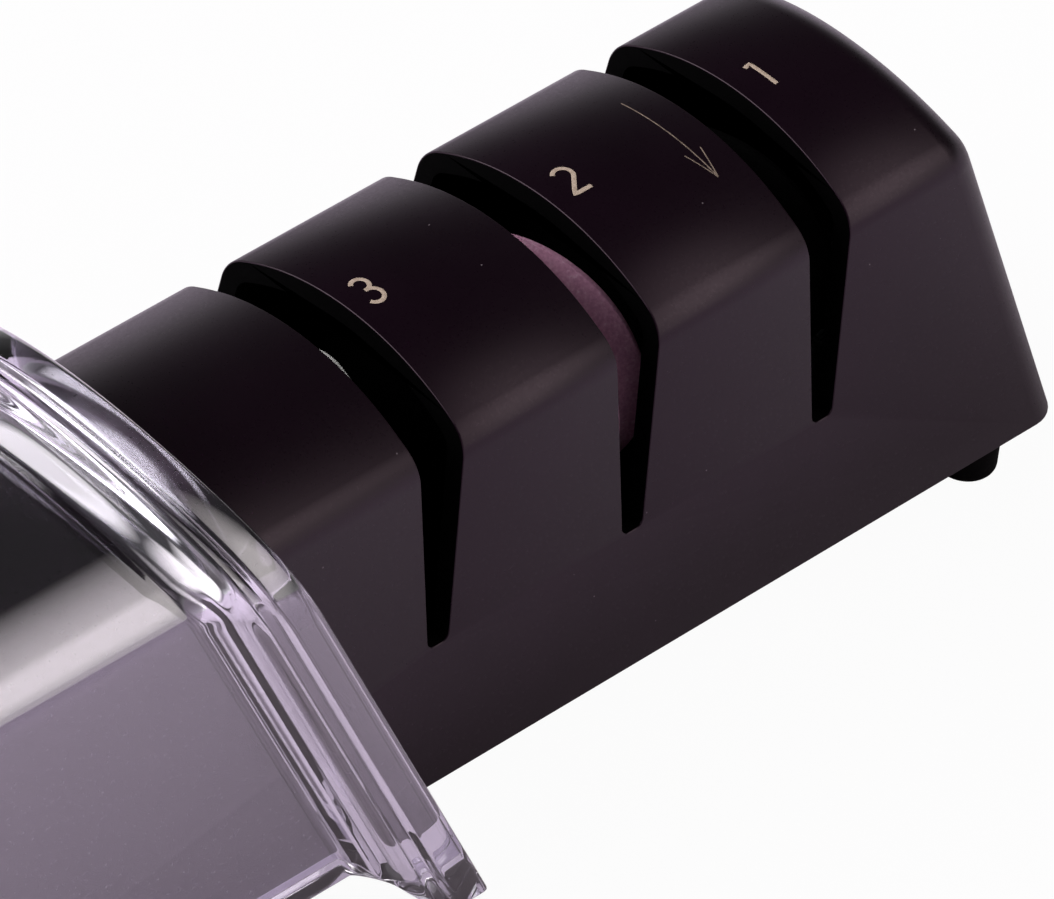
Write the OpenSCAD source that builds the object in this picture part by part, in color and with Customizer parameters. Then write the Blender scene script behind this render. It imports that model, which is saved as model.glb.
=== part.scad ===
// Hand-held knife sharpener: three slots, a pair of grinding wheels under each slot,
// and a clear sleeve that slides along the body. Millimetres, +Z up, feet on z = 0,
// length along X with the leaning end towards +X, front towards -Y.

/* [Body] */
// Length over the housing and its end cap, at the bottom edge
body_length = 210; // [196:1:240]
// Depth of the housing at its bottom edge
base_depth = 44.2; // [43:0.2:50]
// Depth of the housing at its upper corners
top_depth = 35.8; // [34:0.2:40]
// Height of the side walls up to the upper corners
side_height = 42.6; // [42:0.2:50]
// Rise of the arched top above the upper corners
arch_rise = 5.5; // [4.5:0.1:7]
// Radius of the two long upper corners
corner_radius = 4.8; // [4.6:0.1:7]
// Lean of the right end from upright, in degrees
end_lean = 20.2; // [8:0.1:21]
// Rounding of the edges of the right end
end_radius = 4; // [1:0.5:4.5]
// Wall thickness of the housing
wall = 2.4; // [1.8:0.1:2.8]

/* [Slots] */
// Distance between neighbouring slots
slot_pitch = 28; // [27:0.5:30]
// Distance of the middle slot from the right end, at the bottom edge
slot_place = 66; // [65:0.5:69]
// Width of a slot at the top
slot_width = 6.5; // [5.8:0.1:7]
// Width of a slot at its lower end
slot_foot_width = 2.9; // [2:0.1:4]
// Height of a slot's lower end above the housing's bottom edge
slot_floor = 18.2; // [17:0.2:24]
// Height above the housing's bottom edge from which a slot narrows downwards
slot_taper_top = 44.3; // [40:0.1:45]
// Rounding of the two corners at a slot's lower end
slot_foot_round = 0.9; // [0.3:0.1:1]
// Thickness of the walls inside the housing that part the slots
divider_wall = 1.6; // [1:0.1:2]
// Gap between these walls and the base plate
divider_gap = 0.4; // [0.2:0.1:1]

/* [Grinding wheels] */
// Radius of the coarse wheels
coarse_radius = 15; // [12:0.1:15.4]
// Radius of the medium wheels
medium_radius = 15; // [12:0.1:15.4]
// Radius of the fine wheels
fine_radius = 13; // [11:0.1:15.4]
// Thickness of one wheel
wheel_thickness = 3.2; // [2.6:0.1:3.6]
// Depth of the sloping rim that makes the V of a pair
rim_drop = 2.4; // [1:0.1:4]
// Width of the flat land on the outer edge of a wheel
rim_land = 0.6; // [0.3:0.1:1]
// Gap between the two wheels of a pair
wheel_gap = 0.4; // [0.2:0.1:0.8]
// Turn of the coarse and medium pairs away from square to the slot, in degrees
wheel_skew = 18; // [0:1:20]
// Turn of the fine pair the other way, in degrees
fine_skew = 18; // [0:1:20]
// Height of the axles above the housing's bottom edge
axle_height = 26.8; // [25:0.2:28]
// Radius of an axle
axle_radius = 2; // [1.6:0.1:2.4]
// Length of an axle that stands out past each cheek
axle_stub = 0.6; // [0.3:0.1:1]
// Outer radius of a collar
collar_radius = 4.5; // [3.4:0.1:5.5]
// Length of a collar
collar_length = 1.6; // [1:0.1:2]

/* [Cradles] */
// Thickness of a cheek
cheek_thickness = 2.6; // [2:0.1:3]
// Radius of a cheek's rounded top
cheek_radius = 6; // [5:0.1:7]
// Thickness of a cradle's floor
cradle_floor = 2.6; // [2:0.1:3]
// Length of a cradle's floor along the slot
cradle_depth = 26; // [25:0.5:28]
// Distance of a cradle screw from the middle of its cradle
cradle_screw_place = 9.6; // [9:0.1:10]
// Radius of a cradle's screw post
cradle_post_radius = 3; // [2.6:0.1:3.2]
// Height of a cradle's screw post above the base plate
cradle_post_height = 6.4; // [5:0.1:7]

/* [Base plate and screws] */
// Thickness of the base plate
plate_thickness = 2.4; // [2.2:0.1:3]
// Set-back of the base plate from the housing's bottom edge
plate_recess = 0.8; // [0.4:0.1:1.2]
// Gap between the base plate and the housing all round
plate_gap = 0.15; // [0.1:0.05:0.4]
// Radius of a housing screw post
post_radius = 3.2; // [2.8:0.1:3.6]
// Distance of the housing screw posts from the middle of the depth
post_place = 7; // [6:0.5:8]
// Distance of the right posts from the first slot
right_post_place = 15; // [15:0.5:16]
// Distance of the middle posts from the third slot
middle_post_place = 24; // [18:0.5:40]
// Distance of the left posts from the left end
left_post_place = 20; // [14:1:40]
// Radius of a screw's shank
screw_radius = 1.5; // [1.2:0.1:1.6]
// Radius of a screw's head
screw_head_radius = 2.8; // [2.4:0.1:3]
// Height of a screw's head
screw_head_height = 1.6; // [1.2:0.1:2]
// Depth of the pocket that takes a screw's head
head_pocket = 1; // [0.6:0.1:1.2]
// Length of a base screw that goes into its post
base_screw_bite = 9; // [6:0.5:12]
// Length of a cradle screw that goes into its cradle
cradle_screw_bite = 5; // [4:0.1:5]

/* [Feet] */
// Height of the housing's bottom edge above the table
foot_height = 8; // [7:0.5:10]
// Radius of a foot
foot_radius = 3.5; // [3:0.1:3.7]
// Rounding of a foot's lower edge
foot_edge = 1; // [0.4:0.1:1.5]
// Radius of the stem that plugs into the base plate
foot_stem_radius = 2; // [1.5:0.1:2.4]
// Distance of the feet from the ends of the housing
foot_inset = 7.8; // [7.8:0.1:12]
// Distance of the feet from the long bottom edges of the housing
foot_place = 6.2; // [6.1:0.1:8]

/* [Clear sleeve] */
// Gap between the sleeve and the housing
cover_gap = 0.5; // [0.35:0.05:0.8]
// Wall thickness of the sleeve
cover_wall = 2; // [1.6:0.1:2.4]
// Thickness of the lips that hook under the housing
lip_thickness = 2.1; // [1.4:0.1:2.4]
// Reach of the lips under the housing
lip_reach = 2.4; // [1.4:0.1:2.5]
// Distance of the rim from the third slot, at the housing's bottom edge
rim_place = 4.3; // [3:0.1:8]
// Lean of the rim from upright, in degrees
rim_lean = 26.5; // [15:0.1:28]
// Distance from the housing to the outside of the rim
rim_reach = 9; // [7:0.1:10]
// Width of the band round the outside of the rim
rim_band = 4.8; // [3:0.1:6]
// Height of the step between the band and the shoulder
rim_step = 1; // [0.4:0.1:1.6]
// Length of the level shoulder between the step and the flare
rim_shoulder = 1; // [0.6:0.1:3]
// Width of the bevel on the rim's front edges
rim_edge = 0.5; // [0.3:0.1:0.8]
// Widening of the rim's mouth at its front edge
mouth_lead = 0.8; // [0.4:0.1:1.2]
// Length of the flare along the body
flare_length = 4.4; // [3.5:0.1:8]
// Gap between the rim and the table
rim_table_gap = 0.5; // [0.3:0.1:1]
// Gap between the parked sleeve and the end cap
cover_stop_gap = 0.3; // [0.2:0.05:0.6]

/* [End cap] */
// Thickness of the end cap
cap_thickness = 5; // [4:0.5:7]
// Rounding of the end cap's outer edge
cap_radius = 2; // [1:0.5:3]
// Radius of the pegs on the end cap
peg_radius = 2.4; // [1.8:0.1:3]
// Length of a peg past the housing's end wall
peg_tail = 1.6; // [0.6:0.1:3]
// Height of the lower peg above the housing's bottom edge
low_peg = 14; // [10:0.5:18]
// Height of the upper peg above the housing's bottom edge
high_peg = 34; // [28:0.5:38]

/* [Fits] */
// Radial running clearance of an axle in its cheeks
run_gap = 0.05; // [0.02:0.01:0.09]
// End play between a collar and its cheek
end_play = 0.2; // [0.1:0.05:0.4]
// Radial clearance of pieces fixed on an axle, stem, shank or peg
seat_gap = 0.02; // [0.01:0.01:0.05]
// Radial clearance of a screw's shank and head in the base plate
screw_gap = 0.2; // [0.1:0.05:0.3]

/* [Hidden] */
$fn = 48;
corner_steps = 6;
arch_steps = 18;
edge_steps = 4;
flare_steps = 8;
thin = 0.01;
spare = 1;

// Places along the body
right_end = body_length / 2;
left_end = -body_length / 2;
shell_left = left_end + cap_thickness;
medium_place = right_end - slot_place;
coarse_place = medium_place + slot_pitch;
fine_place = medium_place - slot_pitch;
slot_places = [coarse_place, medium_place, fine_place];
skews = [wheel_skew, wheel_skew, -fine_skew];
post_places = [coarse_place + right_post_place, fine_place - middle_post_place, left_end + left_post_place];
foot_places = [right_end - foot_inset, shell_left + foot_inset];
foot_side = base_depth / 2 - foot_place;
end_tan = tan(end_lean);
rim_tan = tan(rim_lean);

// Cross-section: drafted sides, arched top, rounded upper corners
draft = atan((base_depth - top_depth) / 2 / side_height);
arch_radius = (pow(top_depth / 2, 2) + pow(arch_rise, 2)) / (2 * arch_rise);
arch_centre = side_height + arch_rise - arch_radius;
total_height = side_height + arch_rise;
corner_from = [base_depth / 2 - corner_radius * cos(draft), -corner_radius * sin(draft) - arch_centre];
corner_up = -corner_from[1] * cos(draft) + corner_from[0] * sin(draft);
corner_rest = pow(corner_up, 2) - corner_from * corner_from + pow(arch_radius - corner_radius, 2);
corner_run = corner_up + sqrt(corner_rest);
corner_y = corner_from[0] - corner_run * sin(draft);
corner_z = corner_from[1] + corner_run * cos(draft) + arch_centre;
arch_from = atan2(corner_z - arch_centre, corner_y);

function side_y(grow, z) = base_depth / 2 + grow / cos(draft) - z * tan(draft);
function corner_point(grow, i) =
  let (turn = draft + (arch_from - draft) * i / corner_steps)
  [corner_y + (corner_radius + grow) * cos(turn), corner_z + (corner_radius + grow) * sin(turn)];
function arch_point(grow, i) =
  let (turn = arch_from + (180 - 2 * arch_from) * i / arch_steps)
  [(arch_radius + grow) * cos(turn), arch_centre + (arch_radius + grow) * sin(turn)];
function mirrored(p) = [-p[0], p[1]];
function outline(grow, bottom) = concat(
  [[side_y(grow, bottom), bottom]],
  [for (i = [0:corner_steps]) corner_point(grow, i)],
  [for (i = [1:arch_steps - 1]) arch_point(grow, i)],
  [for (i = [corner_steps:-1:0]) mirrored(corner_point(grow, i))],
  [[-side_y(grow, bottom), bottom]]
);
function arch_top(inset, y) = arch_centre + sqrt(pow(arch_radius - inset, 2) - y * y);

// The section carried along stations, from left to right.
// A station is [place at the bottom edge, tangent of the lean, growth of the section]
module loft(stations, bottom) {
  rings = [for (s = stations)
    [for (p = outline(s[2], bottom)) [s[0] - s[1] * p[1], p[0], p[1]]]];
  count = len(rings[0]);
  last = (len(rings) - 1) * count;
  walls = [for (r = [0:len(rings) - 2], i = [0:count - 1])
    let (a = r * count + i, b = r * count + (i + 1) % count)
    [a, a + count, b + count, b]];
  left_face = [for (i = [0:count - 1]) i];
  right_face = [for (i = [count - 1:-1:0]) last + i];
  polyhedron([for (ring = rings, p = ring) p], concat(walls, [left_face], [right_face]));
}

module at_shell() {
  translate([0, 0, foot_height])
    children();
}

module along_depth(reach) {
  rotate([90, 0, 0])
    linear_extrude(reach, center = true)
      children();
}

// Base plate levels
plate_bottom = plate_recess;
plate_top = plate_recess + plate_thickness;
plate_half_depth = side_y(-wall, plate_top) - plate_gap;
end_wall = wall / cos(end_lean);
plate_left = shell_left + wall + plate_gap;
plate_right = right_end - end_wall - plate_top * end_tan - plate_gap;
head_seat = plate_bottom + head_pocket;

// Wheel pair levels along the axle
wheel_inner = wheel_gap / 2;
wheel_outer = wheel_inner + wheel_thickness;
collar_outer = wheel_outer + collar_length;
cheek_inner = collar_outer + end_play;
cheek_outer = cheek_inner + cheek_thickness;
axle_half = cheek_outer + axle_stub;

// Housing
post_top = arch_top(wall * 0.7, post_place);
pilot_radius = screw_radius + seat_gap;
shell_stations = concat(
  [[shell_left, 0, 0]],
  [for (i = [0:edge_steps])
    let (turn = 90 * i / edge_steps)
    [right_end - end_radius * (1 - sin(turn)), end_tan, -end_radius * (1 - cos(turn))]]
);
cavity_stations = [
  [shell_left + wall, 0, -wall],
  [right_end - end_wall, end_tan, -wall]
];

module screw_places() {
  for (x = post_places)
    for (side = [-1, 1])
      translate([x, side * post_place, 0])
        children();
}

// Right half of a slot's outline, from its rounded foot to above the arched top
slot_taper = atan((slot_width - slot_foot_width) / 2 / (slot_taper_top - slot_floor));
slot_round_place = slot_foot_width / 2 - slot_foot_round * (1 - sin(slot_taper)) / cos(slot_taper);
slot_half = concat(
  [for (i = [0:edge_steps])
    let (turn = -90 + (90 - slot_taper) * i / edge_steps)
    [slot_round_place + slot_foot_round * cos(turn), slot_floor + slot_foot_round * (1 + sin(turn))]],
  [[slot_width / 2, slot_taper_top], [slot_width / 2, total_height + spare]]
);

module slot_cut() {
  along_depth(base_depth + 2 * wall)
    polygon(concat(slot_half, [for (i = [len(slot_half) - 1:-1:0]) mirrored(slot_half[i])]));
}

// Walls across the inside, half-way between neighbouring slots
module dividers() {
  for (i = [0:len(slot_places) - 2])
    translate([(slot_places[i] + slot_places[i + 1]) / 2, 0, 0])
      rotate([90, 0, 90])
        linear_extrude(divider_wall, center = true)
          polygon(outline(-wall / 2, plate_top + divider_gap));
}

module peg_places() {
  for (z = [low_peg, high_peg])
    translate([shell_left, 0, z])
      rotate([0, 90, 0])
        children();
}

module housing_shell() {
  color([0.06, 0.055, 0.065])
    at_shell()
      difference() {
        union() {
          difference() {
            loft(shell_stations, 0);
            loft(cavity_stations, -spare);
          }
          dividers();
          screw_places()
            translate([0, 0, plate_top])
              cylinder(r = post_radius, h = post_top - plate_top);
        }
        for (x = slot_places)
          translate([x, 0, 0])
            slot_cut();
        screw_places()
          translate([0, 0, plate_top - spare])
            cylinder(r = pilot_radius, h = base_screw_bite + 2 * spare);
        peg_places()
          translate([0, 0, -spare])
            cylinder(r = peg_radius + seat_gap, h = wall + 2 * spare);
      }
}

// End cap: as large as the sleeve, with a rounded outer edge and two pegs in the housing
cap_grow = cover_gap + cover_wall;
cap_stations = concat(
  [for (i = [edge_steps:-1:0])
    let (turn = 90 * i / edge_steps)
    [left_end + cap_radius * (1 - sin(turn)), 0, cap_grow - cap_radius * (1 - cos(turn))]],
  [[shell_left, 0, cap_grow]]
);

module end_cap() {
  color([0.09, 0.085, 0.095])
    at_shell() {
      loft(cap_stations, 0);
      peg_places()
        translate([0, 0, -spare])
          cylinder(r = peg_radius, h = wall + peg_tail + spare);
    }
}

// Base plate and its screws
module cradle_screw_places() {
  for (stage = [0:2])
    translate([slot_places[stage], 0, 0])
      rotate([0, 0, skews[stage]])
        for (side = [-1, 1])
          translate([0, side * cradle_screw_place, 0])
            children();
}

module foot_spots() {
  for (x = foot_places)
    for (side = [-1, 1])
      translate([x, side * foot_side, 0])
        children();
}

module screw_hole() {
  translate([0, 0, plate_bottom - spare]) {
    cylinder(r = screw_radius + screw_gap, h = plate_thickness + 2 * spare);
    cylinder(r = screw_head_radius + screw_gap, h = head_pocket + spare);
  }
}

module base_plate() {
  color([0.13, 0.125, 0.135])
    at_shell()
      difference() {
        translate([plate_left, -plate_half_depth, plate_bottom])
          cube([plate_right - plate_left, 2 * plate_half_depth, plate_thickness]);
        screw_places()
          screw_hole();
        cradle_screw_places()
          screw_hole();
        foot_spots()
          translate([0, 0, plate_bottom - spare])
            cylinder(r = foot_stem_radius + seat_gap, h = plate_thickness + 2 * spare);
      }
}

module screw(bite) {
  blade = screw_head_radius * 0.35;
  translate([0, 0, head_seat]) {
    difference() {
      translate([0, 0, -screw_head_height])
        cylinder(r = screw_head_radius, h = screw_head_height);
      for (turn = [0, 90])
        rotate([0, 0, turn])
          translate([-screw_head_radius * 0.7, -blade / 2, -screw_head_height - spare])
            cube([screw_head_radius * 1.4, blade, screw_head_height / 2 + spare]);
    }
    cylinder(r = screw_radius, h = plate_top - head_seat + bite);
  }
}

module base_screws() {
  color([0.7, 0.7, 0.72])
    at_shell()
      screw_places()
        screw(base_screw_bite);
}

module cradle_screws() {
  color([0.7, 0.7, 0.72])
    at_shell()
      cradle_screw_places()
        screw(cradle_screw_bite);
}

// Rubber feet: a round pad under the plate with a stem plugged into it
module foot(x_side, y_side) {
  pad_top = foot_height + plate_bottom;
  color([0.1, 0.1, 0.1])
    translate([foot_places[x_side], y_side * foot_side, 0]) {
      rotate_extrude() {
        translate([0, foot_edge])
          square([foot_radius, pad_top - foot_edge]);
        square([foot_radius - foot_edge, foot_edge + thin]);
        translate([foot_radius - foot_edge, foot_edge])
          intersection() {
            circle(foot_edge);
            translate([0, -foot_edge])
              square([foot_edge, foot_edge + thin]);
          }
      }
      translate([0, 0, pad_top - thin])
        cylinder(r = foot_stem_radius, h = plate_thickness + thin);
    }
}

module foot_right_front() {
  foot(0, -1);
}

module foot_right_back() {
  foot(0, 1);
}

module foot_left_front() {
  foot(1, -1);
}

module foot_left_back() {
  foot(1, 1);
}

// Wheel pairs. Each module draws around the axle's middle, with the axle along X
module at_axle(stage) {
  translate([slot_places[stage], 0, foot_height + axle_height])
    rotate([0, 0, skews[stage]])
      children();
}

module turned_about_axle() {
  rotate([0, 90, 0])
    children();
}

module cheek(side) {
  translate([side > 0 ? cheek_inner : -cheek_outer, 0, 0]) {
    translate([0, -cheek_radius, plate_top - axle_height])
      cube([cheek_thickness, 2 * cheek_radius, axle_height - plate_top]);
    turned_about_axle()
      cylinder(r = cheek_radius, h = cheek_thickness);
  }
}

module cradle(stage) {
  color([0.22, 0.22, 0.24])
    at_axle(stage)
      difference() {
        union() {
          translate([-cheek_outer, -cradle_depth / 2, plate_top - axle_height])
            cube([2 * cheek_outer, cradle_depth, cradle_floor]);
          cheek(-1);
          cheek(1);
          for (side = [-1, 1])
            translate([0, side * cradle_screw_place, plate_top - axle_height])
              cylinder(r = cradle_post_radius, h = cradle_post_height);
        }
        turned_about_axle()
          translate([0, 0, -cheek_outer - spare])
            cylinder(r = axle_radius + run_gap, h = 2 * (cheek_outer + spare));
        for (side = [-1, 1])
          translate([0, side * cradle_screw_place, plate_top - axle_height - spare])
            cylinder(r = pilot_radius, h = cradle_post_height + 2 * spare);
      }
}

module axle(stage) {
  color([0.75, 0.75, 0.77])
    at_axle(stage)
      turned_about_axle()
        translate([0, 0, -axle_half])
          cylinder(r = axle_radius, h = 2 * axle_half);
}

module collars(stage) {
  color([0.85, 0.84, 0.8])
    at_axle(stage)
      turned_about_axle()
        for (from = [wheel_outer, -collar_outer])
          translate([0, 0, from])
            difference() {
              cylinder(r = collar_radius, h = collar_length);
              translate([0, 0, -spare])
                cylinder(r = axle_radius + seat_gap, h = collar_length + 2 * spare);
            }
}

// A wheel rises from its inner face to its outer face, so a pair makes a V
module wheel(stage, radius, side) {
  at_axle(stage)
    rotate([0, side * 90, 0])
      rotate_extrude()
        polygon([
          [axle_radius + seat_gap, wheel_inner],
          [radius - rim_drop, wheel_inner],
          [radius, wheel_outer - rim_land],
          [radius, wheel_outer],
          [axle_radius + seat_gap, wheel_outer]
        ]);
}

module coarse_cradle() {
  cradle(0);
}

module coarse_axle() {
  axle(0);
}

module coarse_collars() {
  collars(0);
}

module coarse_wheel_left() {
  color([0.2, 0.2, 0.21])
    wheel(0, coarse_radius, -1);
}

module coarse_wheel_right() {
  color([0.2, 0.2, 0.21])
    wheel(0, coarse_radius, 1);
}

module medium_cradle() {
  cradle(1);
}

module medium_axle() {
  axle(1);
}

module medium_collars() {
  collars(1);
}

module medium_wheel_left() {
  color([0.72, 0.55, 0.62])
    wheel(1, medium_radius, -1);
}

module medium_wheel_right() {
  color([0.72, 0.55, 0.62])
    wheel(1, medium_radius, 1);
}

module fine_cradle() {
  cradle(2);
}

module fine_axle() {
  axle(2);
}

module fine_collars() {
  collars(2);
}

module fine_wheel_left() {
  color([0.9, 0.89, 0.87])
    wheel(2, fine_radius, -1);
}

module fine_wheel_right() {
  color([0.9, 0.89, 0.87])
    wheel(2, fine_radius, 1);
}

// Clear sleeve: a C-shaped section carried along stations. Its inside stays straight, and its
// outside rises in an S to a shoulder and a step, so the rim is a solid ring.
// A station is [place at the bottom edge, tangent of the lean, outer growth, inner growth,
// lower level of the lips]
cover_outer = cover_gap + cover_wall;
cover_bottom = -cover_gap - lip_thickness;
rim_bottom = rim_table_gap - foot_height;
rim_front = fine_place - rim_place;
shoulder_end = rim_front - rim_band;
flare_end = shoulder_end - rim_shoulder;
flare_start = flare_end - flare_length;
shoulder_reach = rim_reach - rim_step;

function mix(from, to, share) = from + (to - from) * share;
function flare_station(i) =
  let (share = i / flare_steps, rise = (1 - cos(180 * share)) / 2)
  [
    mix(flare_start, flare_end, share),
    rim_tan,
    mix(cover_outer, shoulder_reach, rise),
    cover_gap,
    mix(cover_bottom, rim_bottom, rise)
  ];
function rim_station(x, outer, inner) = [x, rim_tan, outer, inner, rim_bottom];
cover_stations = concat(
  [[shell_left + cover_stop_gap, 0, cover_outer, cover_gap, cover_bottom]],
  [for (i = [0:flare_steps]) flare_station(i)],
  [
    rim_station(shoulder_end, shoulder_reach, cover_gap),
    rim_station(shoulder_end + rim_step / 2, rim_reach, cover_gap),
    rim_station(rim_front - rim_edge, rim_reach, cover_gap),
    rim_station(rim_front, rim_reach - rim_edge, cover_gap + mouth_lead)
  ]
);

function c_path(grow, level, tip) = concat([[tip, level]], outline(grow, level), [[-tip, level]]);
function c_ring(s) =
  let (
    lip_top = s[4] + lip_thickness,
    tip = side_y(s[3], lip_top) - lip_reach,
    outer = c_path(s[2], s[4], tip),
    inner = c_path(s[3], lip_top, tip),
    count = len(outer)
  )
  [for (i = [0:2 * count - 1])
    let (p = i < count ? outer[i] : inner[2 * count - 1 - i])
    [s[0] - s[1] * p[1], p[0], p[1]]];

module clear_cover() {
  rings = [for (s = cover_stations) c_ring(s)];
  count = len(rings[0]);
  half = count / 2;
  last = (len(rings) - 1) * count;
  walls = [for (r = [0:len(rings) - 2], i = [0:count - 1], k = [0, 1])
    let (a = r * count + i, b = r * count + (i + 1) % count)
    k == 0 ? [a, a + count, b] : [b, a + count, b + count]];
  left_face = [for (i = [0:half - 2], k = [0, 1])
    let (a = i, b = i + 1, c = count - 1 - i, d = count - 2 - i)
    k == 0 ? [a, b, c] : [b, d, c]];
  right_face = [for (i = [0:half - 2], k = [0, 1])
    let (a = last + i, b = last + i + 1, c = last + count - 1 - i, d = last + count - 2 - i)
    k == 0 ? [a, c, b] : [b, c, d]];
  color([0.8, 0.78, 0.88, 0.4])
    at_shell()
      polyhedron([for (ring = rings, p = ring) p], concat(walls, left_face, right_face));
}

housing_shell();
end_cap();
base_plate();
base_screws();
cradle_screws();
foot_right_front();
foot_right_back();
foot_left_front();
foot_left_back();
coarse_cradle();
coarse_axle();
coarse_collars();
coarse_wheel_left();
coarse_wheel_right();
medium_cradle();
medium_axle();
medium_collars();
medium_wheel_left();
medium_wheel_right();
fine_cradle();
fine_axle();
fine_collars();
fine_wheel_left();
fine_wheel_right();
clear_cover();
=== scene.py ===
import math
import bmesh
import bpy
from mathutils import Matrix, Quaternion, Vector


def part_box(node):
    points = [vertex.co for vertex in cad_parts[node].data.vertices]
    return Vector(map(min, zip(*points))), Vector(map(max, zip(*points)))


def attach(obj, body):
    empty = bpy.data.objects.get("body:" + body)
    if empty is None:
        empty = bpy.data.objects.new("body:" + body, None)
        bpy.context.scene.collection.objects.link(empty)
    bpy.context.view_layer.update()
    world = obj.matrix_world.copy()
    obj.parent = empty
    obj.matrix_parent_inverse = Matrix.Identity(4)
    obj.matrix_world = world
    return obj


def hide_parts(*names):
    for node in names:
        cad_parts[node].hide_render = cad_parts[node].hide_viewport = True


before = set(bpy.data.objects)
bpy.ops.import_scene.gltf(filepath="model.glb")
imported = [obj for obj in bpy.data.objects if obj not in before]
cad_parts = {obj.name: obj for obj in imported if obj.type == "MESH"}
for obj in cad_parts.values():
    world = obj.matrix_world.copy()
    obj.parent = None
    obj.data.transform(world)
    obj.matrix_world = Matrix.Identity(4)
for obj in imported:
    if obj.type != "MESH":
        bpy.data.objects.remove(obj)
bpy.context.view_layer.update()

# Housing: the black body, injection moulded as one thin shell with drafted sides and an arched top.
# Its right end leans back, and three tapering slots run through it from front to back.
# It drops over the base plate and is held by screws from below.
MM = 0.001
SHELL_LOW, SHELL_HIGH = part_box("housing_shell")
SHELL_LEFT, RIGHT_END, SHELL_FOOT = SHELL_LOW[0], SHELL_HIGH[0], SHELL_LOW[2]
BASE_HALF = SHELL_HIGH[1]
TOP_HALF = 17.9 * MM
SIDE_HEIGHT = 42.6 * MM
ARCH_RISE = 5.5 * MM
CORNER_RADIUS = 4.8 * MM
END_LEAN = math.radians(20.2)
END_RADIUS = 4 * MM
SHELL_WALL = 2.4 * MM
SLOT_PLACES = (67 * MM, 39 * MM, 11 * MM)
SLOT_WIDTH = 6.5 * MM
SLOT_FOOT_WIDTH = 2.9 * MM
SLOT_FLOOR = SHELL_FOOT + 18.2 * MM
SLOT_TAPER_TOP = SHELL_FOOT + 44.3 * MM
SLOT_FOOT_ROUND = 0.9 * MM
SLOT_MIDDLE = SHELL_FOOT + 20 * MM
EDGE_BREAK = 0.16 * MM
DIVIDER_PLACES = (53 * MM, 25 * MM)
DIVIDER_WALL = 1.6 * MM
DIVIDER_FOOT = 3.6 * MM
DIVIDER_OVERLAP = 0.2 * MM
CUTTER_REACH = 2.4 * BASE_HALF
CUTTER_RISE = 8 * MM
END_OVERRUN = 10 * MM
TRIM = 4 * MM
NEAR = 0.01 * MM
DRAFT = math.atan2(BASE_HALF - TOP_HALF, SIDE_HEIGHT)
ARCH_RADIUS = (TOP_HALF ** 2 + ARCH_RISE ** 2) / (2 * ARCH_RISE)
ARCH_CENTRE = SIDE_HEIGHT + ARCH_RISE - ARCH_RADIUS
CORNER_STEPS = 24
ARCH_STEPS = 36


def corner_seat():
    """Middle of the rounded front upper corner, as half depth and height above the bottom edge."""
    from_y = BASE_HALF - CORNER_RADIUS * math.cos(DRAFT)
    from_z = -CORNER_RADIUS * math.sin(DRAFT) - ARCH_CENTRE
    up = from_y * math.sin(DRAFT) - from_z * math.cos(DRAFT)
    run = up + math.sqrt(up ** 2 - from_y ** 2 - from_z ** 2 + (ARCH_RADIUS - CORNER_RADIUS) ** 2)
    return from_y - run * math.sin(DRAFT), from_z + run * math.cos(DRAFT) + ARCH_CENTRE


CORNER_Y, CORNER_Z = corner_seat()
ARCH_FROM = math.atan2(CORNER_Z - ARCH_CENTRE, CORNER_Y)


def leave_edit():
    """Goes back to object mode with nothing selected."""
    if bpy.context.object and bpy.context.object.mode != "OBJECT":
        bpy.ops.object.mode_set(mode="OBJECT")
    bpy.ops.object.select_all(action="DESELECT")


def pick(piece, kind, test):
    """Selects the piece's vertices, edges or faces whose middle passes the test, in edit mode."""
    bpy.ops.mesh.select_mode(type={"verts": "VERT", "edges": "EDGE", "faces": "FACE"}[kind])
    bpy.ops.mesh.select_all(action="DESELECT")
    mesh = bmesh.from_edit_mesh(piece.data)
    for element in getattr(mesh, kind):
        if kind == "verts":
            middle = element.co
        elif kind == "edges":
            middle = (element.verts[0].co + element.verts[1].co) / 2
        else:
            middle = element.calc_center_median()
        if test(middle, element):
            element.select_set(True)
    mesh.select_flush(kind == "faces")
    bmesh.update_edit_mesh(piece.data)


def open_sketch(name):
    """An empty mesh piece in edit mode, ready for outlines."""
    leave_edit()
    bpy.ops.mesh.primitive_plane_add(size=MM)
    piece = bpy.context.object
    piece.name = name
    bpy.ops.object.mode_set(mode="EDIT")
    bpy.ops.mesh.select_mode(type="VERT")
    bpy.ops.mesh.select_all(action="SELECT")
    bpy.ops.mesh.delete(type="VERT")
    return piece


def start_chain(piece, place):
    """Sets the first point of a new outline and selects it alone."""
    bpy.ops.mesh.select_mode(type="VERT")
    bpy.ops.mesh.select_all(action="DESELECT")
    mesh = bmesh.from_edit_mesh(piece.data)
    mesh.verts.new(place).select_set(True)
    bmesh.update_edit_mesh(piece.data)


def carry(x, y, z):
    """Extrudes the selected point by a step."""
    bpy.ops.mesh.extrude_vertices_move(TRANSFORM_OT_translate={"value": (x, y, z)})


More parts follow.
